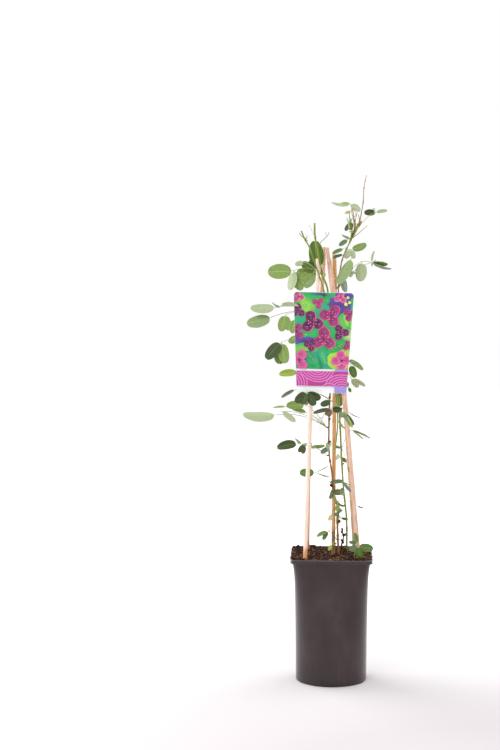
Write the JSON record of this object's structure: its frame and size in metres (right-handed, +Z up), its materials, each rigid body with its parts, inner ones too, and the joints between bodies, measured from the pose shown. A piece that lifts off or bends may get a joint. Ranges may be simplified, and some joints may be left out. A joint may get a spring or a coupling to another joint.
{
  "type": "potted chocolate vine",
  "caption": "Young climbing vine with long-stalked oval leaflets on twining stems, held by five canes in a dark square-topped nursery pot, with a picture label.",
  "frame": {"origin": "centre of the pot's flat underside", "axes": "+Z up along the canes, -Y towards the front that the label faces, +X to the viewer's right"},
  "size_m": [0.2484, 0.1537, 0.8511],
  "materials": {
    "pot_plastic": "moulded satin",
    "soil": "crumbly, matt",
    "cane_wood": "bare, matt",
    "label_card": "printed, satin",
    "tie_plastic": "soft plastic",
    "woody_bark": "rough bark",
    "green_bark": "smooth green bark",
    "shoot_bark": "smooth young bark",
    "dead_wood": "dry, rough",
    "leaf": "matt, slightly waxy"
  },
  "bodies": {
    "root": {"basal_shoot": "green_bark", "cane_back_left": "cane_wood", "cane_back_right": "cane_wood", "cane_front_left": "cane_wood", "cane_front_right": "cane_wood", "cane_middle": "cane_wood", "cross_stem": "green_bark", "dead_twig": "dead_wood", "foliage_back_high": "leaf", "foliage_back_low": "leaf", "foliage_below_label": "leaf", "foliage_below_label_back": "leaf", "foliage_crown": "leaf", "foliage_foot_left": "leaf", "foliage_foot_right": "leaf", "foliage_label_left_high": "leaf", "foliage_label_left_low": "leaf", "foliage_label_right": "leaf", "foliage_low_back": "leaf", "foliage_low_front": "leaf", "foliage_low_left": "leaf", "foliage_middle_front": "leaf", "foliage_middle_left": "leaf", "foliage_middle_right": "leaf", "foliage_pale_left": "leaf", "foliage_right": "leaf", "foliage_right_cane": "leaf", "foliage_top_back": "leaf", "foliage_upper_left": "leaf", "foliage_upper_middle": "leaf", "foliage_upper_right": "leaf", "green_stem": "green_bark", "label": "label_card", "label_tie": "tie_plastic", "pot": "pot_plastic", "soil": "soil", "top_shoot": "shoot_bark", "woody_stem": "woody_bark"}
  },
  "joints": []
}
